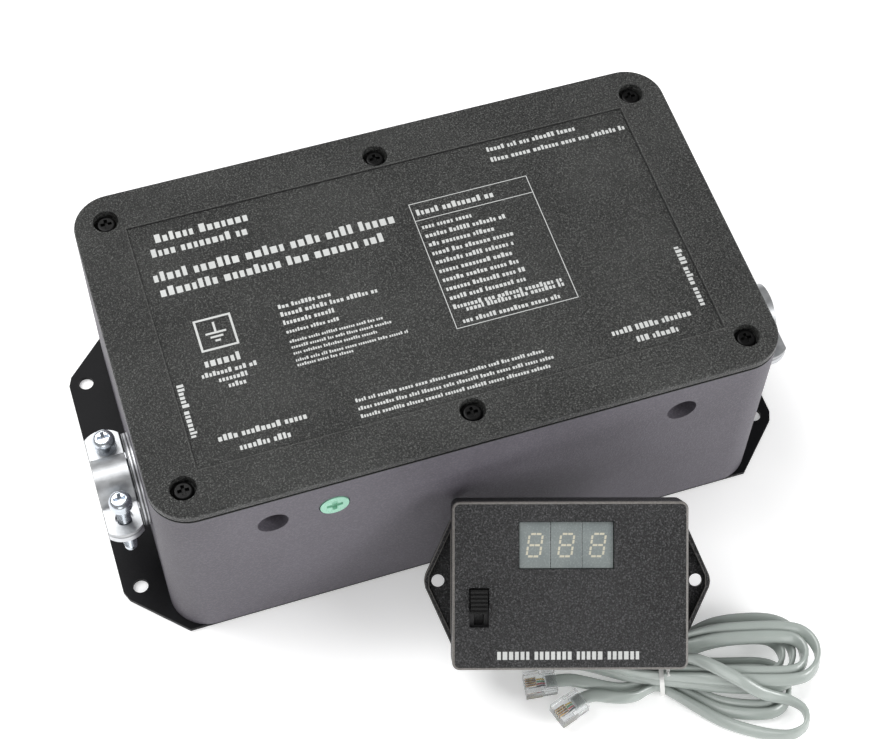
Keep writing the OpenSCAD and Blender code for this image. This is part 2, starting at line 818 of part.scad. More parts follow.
plug_b_body();
plug_b_contacts();
plug_b_latch();
cable_tie();
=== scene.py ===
import json
import math
import random

import bmesh
import bpy
from mathutils import Euler, Matrix, Vector

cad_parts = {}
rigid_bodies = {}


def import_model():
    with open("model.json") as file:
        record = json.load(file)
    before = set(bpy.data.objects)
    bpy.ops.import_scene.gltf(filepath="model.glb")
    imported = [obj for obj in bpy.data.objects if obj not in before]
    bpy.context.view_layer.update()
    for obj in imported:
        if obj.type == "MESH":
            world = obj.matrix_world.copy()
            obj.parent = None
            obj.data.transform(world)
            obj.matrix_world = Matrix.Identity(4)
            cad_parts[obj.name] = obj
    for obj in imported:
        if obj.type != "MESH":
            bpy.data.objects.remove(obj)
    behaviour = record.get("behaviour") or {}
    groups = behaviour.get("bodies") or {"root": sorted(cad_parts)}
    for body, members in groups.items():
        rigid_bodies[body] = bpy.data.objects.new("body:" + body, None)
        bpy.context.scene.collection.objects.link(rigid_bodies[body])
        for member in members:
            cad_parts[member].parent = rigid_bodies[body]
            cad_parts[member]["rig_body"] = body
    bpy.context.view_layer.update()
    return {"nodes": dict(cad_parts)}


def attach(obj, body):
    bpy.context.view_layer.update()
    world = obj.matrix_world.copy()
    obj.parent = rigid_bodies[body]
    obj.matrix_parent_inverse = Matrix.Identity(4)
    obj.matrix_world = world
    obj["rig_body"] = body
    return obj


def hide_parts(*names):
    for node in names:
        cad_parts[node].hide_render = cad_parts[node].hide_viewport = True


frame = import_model()
mm = 0.001
rad = math.radians
print("frame loaded:", len(frame["nodes"]), "nodes")


# shader maths on sockets, so that 1 - mask or mask * 0.5 adds its own Math node
class Wire:
    def __init__(self, finish, socket):
        self.finish = finish
        self.socket = socket

    def maths(self, operation, first, second):
        return self.finish.node("ShaderNodeMath", {"operation": operation}, {0: first, 1: second})

    def __add__(self, other):
        return self.maths("ADD", self, other)

    def __radd__(self, other):
        return self.maths("ADD", other, self)

    def __sub__(self, other):
        return self.maths("SUBTRACT", self, other)

    def __rsub__(self, other):
        return self.maths("SUBTRACT", other, self)

    def __mul__(self, other):
        return self.maths("MULTIPLY", self, other)

    def __rmul__(self, other):
        return self.maths("MULTIPLY", other, self)

    def __abs__(self):
        return self.maths("ABSOLUTE", self, 0)


class Finish:
    def __init__(self, name, **fixed):
        self.material = bpy.data.materials.new(name)
        self.material.use_nodes = True
        self.tree = self.material.node_tree
        self.shader = self.tree.nodes["Principled BSDF"]
        self.place = self.node("ShaderNodeTexCoord", output="Object")
        for socket, value in fixed.items():
            self.shader.inputs[socket.replace("_", " ")].default_value = value

    def node(self, kind, settings=None, values=None, output=0):
        made = self.tree.nodes.new(kind)
        for key, value in (settings or {}).items():
            setattr(made, key, value)
        for key, value in (values or {}).items():
            self.feed(made.inputs[key], value)
        return Wire(self, made.outputs[output])

    def feed(self, socket, value):
        if isinstance(value, Wire):
            self.tree.links.new(value.socket, socket)
        else:
            socket.default_value = value

    def give(self, socket, value):
        self.feed(self.shader.inputs[socket], value)

    def given(self, socket):
        return Wire(self, self.shader.inputs[socket].links[0].from_socket)

    def axis(self, index):
        return self.node("ShaderNodeSeparateXYZ", {}, {0: self.place}, index)

    def stretched(self, scale, vector=None):
        return self.node("ShaderNodeMapping", {}, {"Vector": vector or self.place, "Scale": scale})

    def noise(self, scale, detail=2, rough=0.5, vector=None):
        values = {"Vector": vector or self.place, "Scale": scale, "Detail": detail, "Roughness": rough}
        return self.node("ShaderNodeTexNoise", {}, values)

    def cells(self, scale, vector=None):
        values = {"Vector": vector or self.place, "Scale": scale, "Smoothness": 0.4}
        return self.node("ShaderNodeTexVoronoi", {"feature": "SMOOTH_F1"}, values)

    def between(self, value, low, high, outLow=0.0, outHigh=1.0):
        values = {"Value": value, "From Min": low, "From Max": high, "To Min": outLow, "To Max": outHigh}
        return self.node("ShaderNodeMapRange", {}, values)

    def blend(self, factor, first, second):
        return self.node("ShaderNodeMix", {"data_type": "RGBA"}, {0: factor, 6: first, 7: second}, output=2)

    def bump(self, height, strength, distance):
        values = {"Height": height, "Strength": strength, "Distance": distance}
        self.give("Normal", self.node("ShaderNodeBump", {}, values))


def shade(colour, factor=1.0):
    return tuple(min(1.0, c * factor) for c in colour) + (1.0,)


# moulded plastic: pebbled grain, its colour darker in the creases as painted shade, and a slow drift in tone
def moulded(name, colour, grain, depth, speck, rough, glint=0, **fixed):
    finish = Finish(name, **fixed)
    size = 1 / (grain * mm)
    pebbles = finish.between(1 - finish.cells(size * 0.62), 0.45, 0.85)
    fine = finish.between(finish.noise(size * 0.9, 2, 0.6), 0.38, 0.62)
    wide = finish.between(finish.noise(22, 2), 0.35, 0.65)
    tone = pebbles * 0.4 + fine * 0.4 + wide * 0.2
    # the colour is darkest in the grain's creases: painted shade
    tone = finish.blend(tone, shade(colour, 1 - speck), shade(colour, 1 + speck))
    paintedGlints = finish.between(pebbles * 0.5 + fine * 0.5, 0.4, 0.85)   # bright flecks on the grain's crests: a painted glint standing in for highlights
    finish.give("Base Color", finish.blend(paintedGlints * glint, tone, shade(colour, 4.5)) if glint else tone)
    finish.give("Roughness", finish.between(fine, 0, 1, rough - 0.06, rough + 0.08))
    finish.bump(pebbles * 0.5 + fine * 0.7, 1.0, depth * mm)
    return finish


# plated or bare metal: drawn streaks, cloudy patches and tiny scratches
def plated(name, colour, rough, streak, spots, bump=0.01, **fixed):
    finish = Finish(name, Metallic=1.0, **fixed)
    drawn = finish.noise(900, 3, 0.6, finish.stretched((0.15, 1, 1)))
    cloudy = finish.noise(300, 4, 0.6)
    tone = finish.between(cloudy, 0.3, 0.7) * 0.7 + finish.between(drawn, 0.35, 0.65) * 0.3
    finish.give("Base Color", finish.blend(tone, shade(colour, 1 - spots), shade(colour, 1 + spots * 0.6)))
    finish.give("Roughness", finish.between(drawn + cloudy * 0.6, 0.5, 1.1, rough - 0.05, rough + streak))
    finish.bump(drawn * 0.5 + cloudy, 1.0, bump * mm)
    return finish.material


# smooth coated parts: paint, epoxy, film
def coated(name, colour, rough, speck, size, depth=0.01, second=None, **fixed):
    finish = Finish(name, **fixed)
    skin = finish.noise(1 / (size * mm), 3, 0.55)
    wide = finish.noise(60, 2)
    tone = finish.between(skin, 0.3, 0.7) * 0.6 + finish.between(wide, 0.35, 0.65) * 0.4
    far = second or [c * (1 + speck) for c in colour]
    finish.give("Base Color", finish.blend(tone, shade(colour, 1 - speck), shade(far)))
    finish.give("Roughness", finish.between(skin, 0.3, 0.7, rough - 0.04, rough + 0.05))
    finish.bump(skin, 1.0, depth * mm)
    return finish.material


# flat cord jacket, drawn lines along its length from the piece's own UV map
def jacket(name, colour):
    finish = Finish(name, Coat_Weight=0.6, Coat_Roughness=0.14, Specular_IOR_Level=0.8)
    course = finish.node("ShaderNodeUVMap", {"uv_map": "course"})
    lines = finish.noise(9, 3, 0.6, finish.stretched((3, 60, 1), course))
    cloud = finish.noise(90, 3)
    tone = finish.between(lines, 0.3, 0.7) * 0.5 + finish.between(cloud, 0.3, 0.7) * 0.5
    finish.give("Base Color", finish.blend(tone, shade(colour, 0.9), shade(colour, 1.08)))
    finish.give("Roughness", finish.between(lines, 0.3, 0.7, 0.26, 0.38))
    finish.bump(lines, 1.0, 0.02 * mm)
    return finish.material


def clearPlastic(name):
    finish = Finish(name, Transmission_Weight=0.92, IOR=1.52)
    flow = finish.noise(500, 3, 0.5, finish.stretched((1, 0.4, 1)))
    finish.give("Base Color", finish.blend(flow, (0.93, 0.95, 0.95, 1), (0.98, 0.99, 1.0, 1)))
    finish.give("Roughness", finish.between(flow, 0.3, 0.7, 0.03, 0.14))
    finish.bump(flow, 1.0, 0.03 * mm)
    return finish.material


# turned ring: grooves at a steady pitch along the clamp's axis
def turnedRing(name, colour, pitch):
    finish = Finish(name, Metallic=1.0)
    grooves = finish.node("ShaderNodeTexWave", {"bands_direction": "X"}, {
        "Vector": finish.place, "Scale": 0.314 / (pitch * mm), "Distortion": 0.15, "Detail": 1})
    cloudy = finish.noise(400, 4, 0.6)
    ears = finish.between(abs(finish.axis(0)), 131.4 * mm, 131.7 * mm)   # smooth past the turned hub
    band = grooves.maths("MAXIMUM", finish.between(grooves, 0.25, 0.6), ears)
    # the grooves are coloured dark: painted shade in the turned grooves
    tone = finish.blend(band, shade(colour, 0.16), shade(colour))
    finish.give("Base Color", finish.blend(finish.between(cloudy, 0.4, 0.7) * 0.3, tone, shade(colour, 0.7)))
    finish.give("Roughness", finish.between(cloudy, 0.3, 0.7, 0.28, 0.44))
    finish.bump(band + cloudy * 0.1, 1.0, 0.12 * mm)
    return finish.material


lidGrain = moulded("leatherGrainLid", (0.04, 0.041, 0.039), 0.56, 0.5, 0.98, 0.36, 0.48,
                   Specular_IOR_Level=0.5)

# the label's shallow step holds a dark line of painted shade, with a pale line of painted highlight just
# outside it
labelStep = {"halfX": 107.7, "halfY": 58.5, "line": 0.28}
line = labelStep["line"] * mm
overX = abs(lidGrain.axis(0)) - labelStep["halfX"] * mm
overY = abs(lidGrain.axis(1)) - labelStep["halfY"] * mm
step = overX.maths("MAXIMUM", overX, overY)
stepShade = lidGrain.between(abs(step), 0.6 * line, line, 1, 0)
stepHighlight = lidGrain.between(abs(step - line * 1.9), 0.4 * line, 0.9 * line, 1, 0)
# painted highlight just outside the step
tone = lidGrain.blend(stepHighlight * 0.5, lidGrain.given("Base Color"), (0.11, 0.11, 0.105, 1))
# painted shade along the step
lidGrain.give("Base Color", lidGrain.blend(stepShade * 0.85, tone, (0.008, 0.008, 0.008, 1)))

wallGrain = moulded("fineGrainWall", (0.103, 0.095, 0.113), 0.62, 0.08, 0.34, 0.56)
rim = wallGrain.between(wallGrain.axis(2), 92.2 * mm, 92.5 * mm)   # shadowed rim under the lid's edge
wallGrain.give("Base Color", wallGrain.blend(rim, wallGrain.given("Base Color"), (0.006, 0.006, 0.007, 1)))

finishes = {
    "lid": lidGrain.material,
    "wall": wallGrain.material,
    "display": moulded("leatherGrainCharcoal", (0.026, 0.026, 0.027), 0.54, 0.42, 0.97, 0.38, 0.52,
                       Specular_IOR_Level=0.4).material,
    # pale edge finish: a painted highlight along the display's rims
    "displayEdgeHighlight": moulded("paintedEdgeHighlight", (0.17, 0.16, 0.15), 0.5, 0.05, 0.3, 0.34).material,
    "plate": coated("satinBlackPaint", (0.006, 0.006, 0.007), 0.42, 0.3, 0.9, 0.02, Specular_IOR_Level=0.1),
    "blackScrew": coated("blackOxide", (0.002, 0.002, 0.002), 0.34, 0.3, 0.5, 0.02, Specular_IOR_Level=0.14),
    "zinc": plated("brightZinc", (0.6, 0.64, 0.69), 0.2, 0.12, 0.2, 0.03),
    "strapZinc": plated("rolledZincStrap", (0.47, 0.48, 0.49), 0.4, 0.12, 0.2, 0.03),
    "castZinc": turnedRing("groovedCastZinc", (0.6, 0.61, 0.63), 1.35),
    "green": coated("greenPassivate", (0.3, 0.58, 0.44), 0.3, 0.12, 0.5, 0.01, Metallic=0.3),
    "tinned": plated("tinnedCopper", (0.66, 0.65, 0.6), 0.34, 0.16, 0.14),
    "brass": plated("turnedBrass", (0.7, 0.5, 0.22), 0.28, 0.12, 0.12),
    "steel": plated("plainSteel", (0.5, 0.51, 0.52), 0.32, 0.14, 0.14),
    "block": moulded("blackThermoplastic", (0.016, 0.016, 0.018), 0.5, 0.02, 0.25, 0.42).material,
    "phenolic": moulded("brownPhenolic", (0.32, 0.25, 0.15), 0.5, 0.02, 0.2, 0.4).material,
    "copper": plated("copperContact", (0.78, 0.46, 0.28), 0.3, 0.12, 0.14),
    "epoxy": coated("blueEpoxyCore", (0.02, 0.035, 0.1), 0.25, 0.2, 1.5, 0.06, Coat_Weight=0.5),
    "tape": coated("yellowFilmTape", (0.62, 0.45, 0.07), 0.22, 0.12, 1.2, 0.03, Coat_Weight=0.4),
    "blueDisc": coated("blueDiscCoating", (0.02, 0.07, 0.33), 0.3, 0.2, 1.4, 0.08),
    "orangeDisc": coated("orangeDiscCoating", (0.56, 0.15, 0.03), 0.3, 0.2, 1.4, 0.08),
    "sleeve": coated("shrinkSleeve", (0.012, 0.03, 0.1), 0.28, 0.2, 1.6, 0.02, Coat_Weight=0.3),
    "chip": moulded("chipEpoxy", (0.011, 0.011, 0.012), 0.4, 0.01, 0.3, 0.5).material,
    "jacket": jacket("silverSatinJacket", (0.34, 0.38, 0.355)),
    "clear": clearPlastic("clearPolycarbonate"),
    "gold": plated("goldContact", (0.86, 0.56, 0.2), 0.22, 0.1, 0.1),
    "tie": coated("whiteTieSleeve", (0.75, 0.75, 0.73), 0.32, 0.04, 0.8, 0.01),
    "print": coated("palePrint", (0.52, 0.53, 0.52), 0.5, 0.1, 0.5, 0.004),
    "segment": coated("paleSegment", (0.5, 0.47, 0.37), 0.35, 0.1, 0.4, 0.004),
    "knob": moulded("ribbedBlackKnob", (0.003, 0.003, 0.003), 0.4, 0.01, 0.3, 0.3,
                    Specular_IOR_Level=0.25).material,
}


# laminated board: green mask over a faint copper pattern
def solderMask():
    finish = Finish("greenSolderMask", Coat_Weight=0.4, Coat_Roughness=0.2)
    patches = finish.node("ShaderNodeTexVoronoi", {"distance": "CHEBYCHEV"}, {
        "Vector": finish.place, "Scale": 260})
    trace = finish.node("ShaderNodeTexBrick", {"offset": 0.35}, {
        "Vector": finish.place, "Scale": 110, "Mortar Size": 0.06, "Brick Width": 0.8, "Row Height": 0.22}, 1)
    weave = finish.noise(700, 2)
    mask = finish.blend(finish.between(weave, 0.3, 0.7), (0.012, 0.09, 0.035, 1), (0.018, 0.12, 0.045, 1))
    finish.give("Base Color", finish.blend(trace * 0.55, mask, (0.05, 0.27, 0.1, 1)))
    finish.give("Roughness", finish.between(weave, 0.3, 0.7, 0.3, 0.42))
    finish.bump(trace * 0.5 + finish.between(patches, 0, 1) * 0.1, 1.0, 0.03 * mm)
    return finish.material


# stacked sheets seen on edge
def laminated():
    finish = Finish("siliconSteelStack", Metallic=0.9)
    sheets = finish.node("ShaderNodeTexWave", {"bands_direction": "Y"}, {
        "Vector": finish.place, "Scale": 320, "Distortion": 0.6, "Detail": 1})
    rust = finish.noise(200, 4, 0.6)
    tone = finish.blend(finish.between(sheets, 0, 1), (0.1, 0.1, 0.11, 1), (0.3, 0.3, 0.31, 1))
    spots = finish.between(rust, 0.55, 0.75) * 0.4
    finish.give("Base Color", finish.blend(spots, tone, (0.2, 0.11, 0.06, 1)))
    finish.give("Roughness", finish.between(rust, 0.3, 0.7, 0.4, 0.6))
    finish.bump(sheets, 1.0, 0.08 * mm)
    return finish.material


# enamelled wire wound in close turns round an upright bobbin
def wound():
    finish = Finish("enamelledWinding", Coat_Weight=0.6, Coat_Roughness=0.15, Metallic=0.3)
    turns = finish.node("ShaderNodeTexWave", {"bands_direction": "Z"}, {
        "Vector": finish.place, "Scale": 620, "Distortion": 0.3, "Detail": 1})
    cloud = finish.noise(300, 3)
    tone = finish.blend(turns * 0.8 + cloud * 0.2, (0.12, 0.02, 0.008, 1), (0.46, 0.15, 0.06, 1))
    finish.give("Base Color", tone)
    finish.give("Roughness", finish.between(cloud, 0.3, 0.7, 0.25, 0.4))
    finish.bump(turns, 1.0, 0.12 * mm)
    return finish.material


# grey filter face of a display module, slightly hazy
def filterFace():
    finish = Finish("greyFilterFace", Coat_Weight=0.5, Coat_Roughness=0.12)
    haze = finish.noise(120, 2)
    grit = finish.noise(1500, 2)
    tone = finish.between(haze, 0.35, 0.65) * 0.7 + finish.between(grit, 0.3, 0.7) * 0.3
    finish.give("Base Color", finish.blend(tone, (0.16, 0.185, 0.185, 1), (0.21, 0.235, 0.23, 1)))
    finish.give("Roughness", finish.between(grit, 0.3, 0.7, 0.2, 0.3))
    finish.bump(grit, 1.0, 0.005 * mm)
    return finish.material


finishes.update(board=solderMask(), stack=laminated(), coil=wound(), filter=filterFace())
print("finishes made:", len(finishes))

# camera, lights and floor
view = {"place": (-142.588, -424.545, 748.448), "turn": (31.8226, -1.2080, -18.0845), "lens": 78.97}
camera = bpy.data.cameras.new("standCamera")
camera.lens = view["lens"]
camera.sensor_width = 36
stand = bpy.data.objects.new("standCamera", camera)
stand.location = Vector(view["place"]) * mm
stand.rotation_euler = Euler([rad(a) for a in view["turn"]])
bpy.context.scene.collection.objects.link(stand)
bpy.context.scene.camera = stand
bpy.context.scene.view_settings.view_transform = "Standard"

lamps = {
    "overheadSoft": {"place": (-0.6, 0.65, 1.4), "aim": (0, 0, 0.05), "size": 1.3, "power": 26},
    "frontSoft": {"place": (-0.5, -1.45, 0.9), "aim": (0, 0, 0.05), "size": 0.8, "power": 4.5},
    "rightSoft": {"place": (1.1, -1.25, 0.8), "aim": (0, 0, 0.05), "size": 0.8, "power": 17},
}
for name, lamp in lamps.items():
    light = bpy.data.lights.new(name, "AREA")
    light.size = lamp["size"]
    light.energy = lamp["power"]
    hung = bpy.data.objects.new(name, light)
    hung.location = lamp["place"]
    aim = Vector(lamp["aim"]) - Vector(lamp["place"])
    hung.rotation_euler = aim.to_track_quat("-Z", "Y").to_euler()
    bpy.context.scene.collection.objects.link(hung)

sky = bpy.data.worlds.new("paleStudio")
sky.use_nodes = True
sky.node_tree.nodes["Background"].inputs["Color"].default_value = (1, 1, 1, 1)
sky.node_tree.nodes["Background"].inputs["Strength"].default_value = 0.36
bpy.context.scene.world = sky

floorFinish = Finish("paleFloor", Roughness=0.9, Emission_Color=(1, 1, 1, 1), Emission_Strength=0.3)
floorTone = floorFinish.noise(3, 2)
floorFinish.give("Base Color", floorFinish.blend(floorTone, (0.94, 0.94, 0.94, 1), (0.96, 0.96, 0.96, 1)))
ground = bmesh.new()
bmesh.ops.create_grid(ground, x_segments=1, y_segments=1, size=30,
                          matrix=Matrix.Translation((0, 0, -0.2 * mm)))
groundMesh = bpy.data.meshes.new("studioFloor")
ground.to_mesh(groundMesh)
ground.free()
groundMesh.materials.append(floorFinish.material)
studioFloor = bpy.data.objects.new("studioFloor", groundMesh)
bpy.context.scene.collection.objects.link(studioFloor)
print("camera, lamps and floor set")


# a finished mesh becomes a piece that rides with its body
def publish(name, bm, finish, body, stands=(), smoothTo=38, even=True):
    bm.normal_update()
    for face in bm.faces:
        face.smooth = True
    for edge in bm.edges:
        edge.smooth = len(edge.link_faces) == 2 and edge.calc_face_angle(0) < rad(smoothTo)
    mesh = bpy.data.meshes.new(name)
    bm.to_mesh(mesh)
    bm.free()
    for one in finish if isinstance(finish, (list, tuple)) else [finish]:
        mesh.materials.append(finishes[one])
    piece = bpy.data.objects.new(name, mesh)
    bpy.context.scene.collection.objects.link(piece)
    if even:
        weigh = piece.modifiers.new("evenShading", "WEIGHTED_NORMAL")
        weigh.keep_sharp = True
    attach(piece, body)
    if stands:
        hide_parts(*stands)
    return piece


def nodeBody(node):
    return frame["nodes"][node]["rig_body"]


# merged copy of a CAD node with flat faces made whole again
def copyOf(node):
    bm = bmesh.new()
    bm.from_mesh(frame["nodes"][node].data)
    bmesh.ops.remove_doubles(bm, verts=bm.verts, dist=2e-6)
    bmesh.ops.dissolve_limit(bm, angle_limit=rad(1), verts=bm.verts, edges=bm.edges)
    return bm


def soften(bm, width, segments=2, test=None, angle=32, material=-1):
    edges = [e for e in bm.edges if len(e.link_faces) == 2 and e.calc_face_angle(0) > rad(angle)]
    if test:
        edges = [e for e in edges if test((e.verts[0].co + e.verts[1].co) / 2 / mm, e)]
    bmesh.ops.bevel(bm, geom=edges, offset=width * mm, offset_type="OFFSET", segments=segments, profile=0.5,
                    affect="EDGES", clamp_overlap=True, material=material)


# data cable
hank = {
    "centre": (54, -154),                # the tie, and the frame of p (along) and q (to the back)
    "turn": rad(-17.3),
    "height": (2.95, 8.7, 14.4),         # middle of the low, middle and top layers
    "waistPitch": 2.7,
    "back": (0.5, 12, 5.9),              # inner loop's back run, by layer
    "front": (-15, -3.5, -1.5),          # inner loop's front run
    "reach": (49, 50, 53.5),
    "backStep": (3.0, 4.3, 4.1),
    "frontStep": (3.6, 3.1, 3.5),
    "reachStep": (3.6, 4.4, 5.0),
    "backLean": (122, 146, 143),         # degrees of the broad face from upright, past 90 it faces inwards
    "frontLean": (46, 56, 46),
    "order": [(0, 1), (0, 0), (1, 0), (1, 1), (1, 2), (2, 2), (2, 1), (2, 0)],
    "leftCentre": (-44, 20),
    "leftRadius": 12.6,
    "leftStep": 2.65,
    "width": 5.2,
    "thickness": 2.3,
}
cordLeadA = [
    (7.4, -145.9, 6.7), (11.4, -146.5, 6.7), (17, -147.8, 6.6), (23, -150.8, 6.2),
    (30, -154.4, 5.0), (36, -156.5, 3.8), (43, -157.2, 3.2),
]
cordLeadB = [
    (15.2, -158.2, 6.6), (19, -157, 6.6), (24, -157, 6.5), (30, -159.4, 6.2),
    (36, -161.4, 5.5), (41, -161.8, 4.6), (46, -160.6, 3.8),
]


def ease(t):
    t = max(0.0, min(1.0, t))
    return t * t * (3 - 2 * t)


# out along the front, round the end and back along the back
def rightLobe(layer, j):
    w = hank["waistPitch"] * (j + 0.5)
    back = hank["back"][layer] + hank["backStep"][layer] * j
    front = hank["front"][layer] - hank["frontStep"][layer] * j
    reach = hank["reach"][layer] + hank["reachStep"][layer] * j
    mid, half = (back + front) / 2, (back - front) / 2
    z = hank["height"][layer]
    lf, lb = hank["frontLean"][layer], hank["backLean"][layer]
    run = [(0, -w, z, 84), (11, -w + (front + w) * 0.42, z, (84 + lf) / 2)]
    run.append((24, -w + (front + w) * 0.88, z, lf))
    for a in (-88, -58, -30, 0, 30, 58, 88):
        lean = lf + (lb - lf) * ease((a + 88) / 176)
        run.append((reach - half * (1 - math.cos(rad(a))), mid + half * math.sin(rad(a)), z, lean))
    run += [(24, w + (back - w) * 0.88, z, lb), (11, w + (back - w) * 0.46, z, (96 + lb) / 2), (0, w, z, 96)]
    return run


# from the back of the waist round the left lobe to the front
def leftLobe(layer, j, nextLayer, nextJ):
    cx, cy = hank["leftCentre"]
    z0, z1 = hank["height"][layer], hank["height"][nextLayer]
    w0, w1 = (hank["waistPitch"] * (n + 0.5) for n in (j, nextJ))
    r0, r1 = (hank["leftRadius"] + hank["leftStep"] * n for n in (j, nextJ))
    bulge = 0 if nextLayer == layer else (3.4 if j else -3.2)
    run = [(-9, 3.2 + 1.14 * w0, z0, 92), (-22, 11.6 + 1.45 * w0, z0, 90)]
    angles = (68, 95, 120, 145, 170, 195, 220, 245, 266)
    for k, a in enumerate(angles):
        t = ease(k / (len(angles) - 1))
        r = r0 + (r1 - r0) * t + bulge * math.sin(math.pi * t)
        run.append((cx + r * math.cos(rad(a)), cy + r * math.sin(rad(a)), z0 + (z1 - z0) * t, 90))
    q = cy - r1
    run.append((-30, q + (-w1 - q) * 0.30, z1, 88))
    run.append((-14, q + (-w1 - q) * 0.80, z1, 86))
    return run


# the last run goes out over the top layer, turns towards the front and comes back to the tie
frontLobe = [
    (0, -1.35, 14.4, 88), (6, -1.0, 18, 80), (12, -2.0, 20.4, 60), (20, -5.6, 20.6, 40),
    (30, -10.6, 18.6, 36),
    (38, -13.6, 14, 46), (45, -14.2, 10, 60), (51.5, -14.8, 7.8, 72), (57.4, -18.4, 6.0, 86),
    (57.6, -24.0, 4.4, 100), (52, -27.6, 3.4, 116), (44, -27.6, 3.1, 126), (35, -25.6, 3, 130),
    (24, -21.6, 3, 126), (13, -14.9, 3, 112), (6, -10.4, 3, 100), (-1, -7.0, 3.1, 94),
]


def hankPlace(p, q):
    c, s = math.cos(hank["turn"]), math.sin(hank["turn"])
    return hank["centre"][0] + c * p - s * q, hank["centre"][1] + s * p + c * q


def cordRoute():
    local = []
    for (layer, j), (nextLayer, nextJ) in zip(hank["order"], hank["order"][1:]):
        local += rightLobe(layer, j) + leftLobe(layer, j, nextLayer, nextJ)
    route = [(*point, 66 * ease(k / 7)) for k, point in enumerate(cordLeadA)]
    route += [(*hankPlace(p, q), z, lean) for p, q, z, lean in local + frontLobe]
    route += [(*point, 180 - 82 * ease(k / 7)) for k, point in reversed(list(enumerate(cordLeadB)))]
    return route


def mix(u, v, t, s, e):
    return [x + (y - x) * (t - s) / (e - s) for x, y in zip(u, v)]


# one smooth curve through the points, then even steps along it
def smoothRoute(points, step):
    fine = []
    last = len(points) - 1
    for i in range(last):
        a, b, c, d = points[max(i - 1, 0)], points[i], points[i + 1], points[min(i + 2, last)]
        ts = [0.0]
        for u, v in ((a, b), (b, c), (c, d)):
            ts.append(ts[-1] + max(1e-3, math.dist(u[:3], v[:3])) ** 0.5)
        for k in range(12):
            t = ts[1] + (ts[2] - ts[1]) * k / 12
            ab, bc, cd = mix(a, b, t, ts[0], ts[1]), mix(b, c, t, ts[1], ts[2]), mix(c, d, t, ts[2], ts[3])
            fine.append(mix(mix(ab, bc, t, ts[0], ts[2]), mix(bc, cd, t, ts[1], ts[3]), t, ts[1], ts[2]))
    fine.append(list(points[-1]))
    along = [0.0]
    for u, v in zip(fine, fine[1:]):
        along.append(along[-1] + math.dist(u[:3], v[:3]))
    count = round(along[-1] / step)
    route, k = [], 0
    for i in range(count + 1):
        s = along[-1] * i / count
        while k < len(along) - 2 and along[k + 1] < s:
            k += 1
        route.append(mix(fine[k], fine[k + 1], s, along[k], along[k + 1]))
    return route, along[-1]


# jacket's section: round edges and gently crowned broad faces
def cordSection():
    ring = []
    for k in range(16):
        c, s = math.cos(rad(22.5 * k + 11.25)), math.sin(rad(22.5 * k + 11.25))
        wide = hank["width"] / 2 * math.copysign(abs(c) ** 0.62, c) / math.cos(rad(11.25)) ** 0.62
        ring.append((wide, hank["thickness"] / 2 * math.copysign(abs(s) ** 0.8, s)))
    return ring


cordStep = 2.0
cordPath, cordLength = smoothRoute(cordRoute(), cordStep)
section = cordSection()
cordRings = []
for i, (x, y, z, lean) in enumerate(cordPath):
    before, after = cordPath[max(i - 1, 0)], cordPath[min(i + 1, len(cordPath) - 1)]
    ahead = (Vector(after[:3]) - Vector(before[:3])).normalized()
    side = ahead.cross(Vector((0, 0, 1))).normalized()
    normal = side.cross(ahead) * math.cos(rad(lean)) + side * math.sin(rad(lean))
    across = normal.cross(ahead)
    cordRings.append([Vector((x, y, z)) + across * u + normal * v for u, v in section])
cord = bmesh.new()
course = cord.loops.layers.uv.new("course")
rows = [[cord.verts.new(point * mm) for point in ring] for ring in cordRings]
around = len(section)
for i in range(len(rows) - 1):
    for k in range(around):
        near, far = rows[i], rows[i + 1]
        face = cord.faces.new((near[k], near[(k + 1) % around], far[(k + 1) % around], far[k]))
        for loop, (u, v) in zip(face.loops, ((i, k), (i, k + 1), (i + 1, k + 1), (i + 1, k))):
            loop[course].uv = (u * cordStep * mm, v / around)
cord.faces.new(rows[0])
cord.faces.new(rows[-1])
bmesh.ops.recalc_face_normals(cord, faces=cord.faces)
dataCable = publish("dataCable", cord, "jacket", "root",
                    ["data_cable_hank", "data_cable_lead_a", "data_cable_lead_b"], smoothTo=50, even=False)
print("data cable:", round(cordLength), "mm")

# tie: a flat band round the waist and a twisted tail on top
tie = {
    "half": 0.95, "thick": 0.6, "left": -10.6, "right": 8.6, "low": 0.25, "top": 17.2,
    "corner": 2.6, "slant": -2.4,
    "tail": 7.4, "tailHalf": 0.75, "tailThin": 0.28, "twists": 3, "steps": 28,
}


def bandRound(bm, outline, half, thick, shift):
    loops = []
    for out in (0, -thick):
        for p in (-half, half):
            ring = []
            for q, z, nq, nz in outline:
                x, y = hankPlace(p + shift * (z / tie["top"] - 0.5), q + nq * out)
                ring.append(bm.verts.new(Vector((x, y, z + nz * out)) * mm))
            loops.append(ring)
    a, b, c, d = loops
    count = len(outline)
    for first, second in ((a, b), (b, d), (d, c), (c, a)):
        for k in range(count):
            bm.faces.new((first[k], first[(k + 1) % count], second[(k + 1) % count], second[k]))


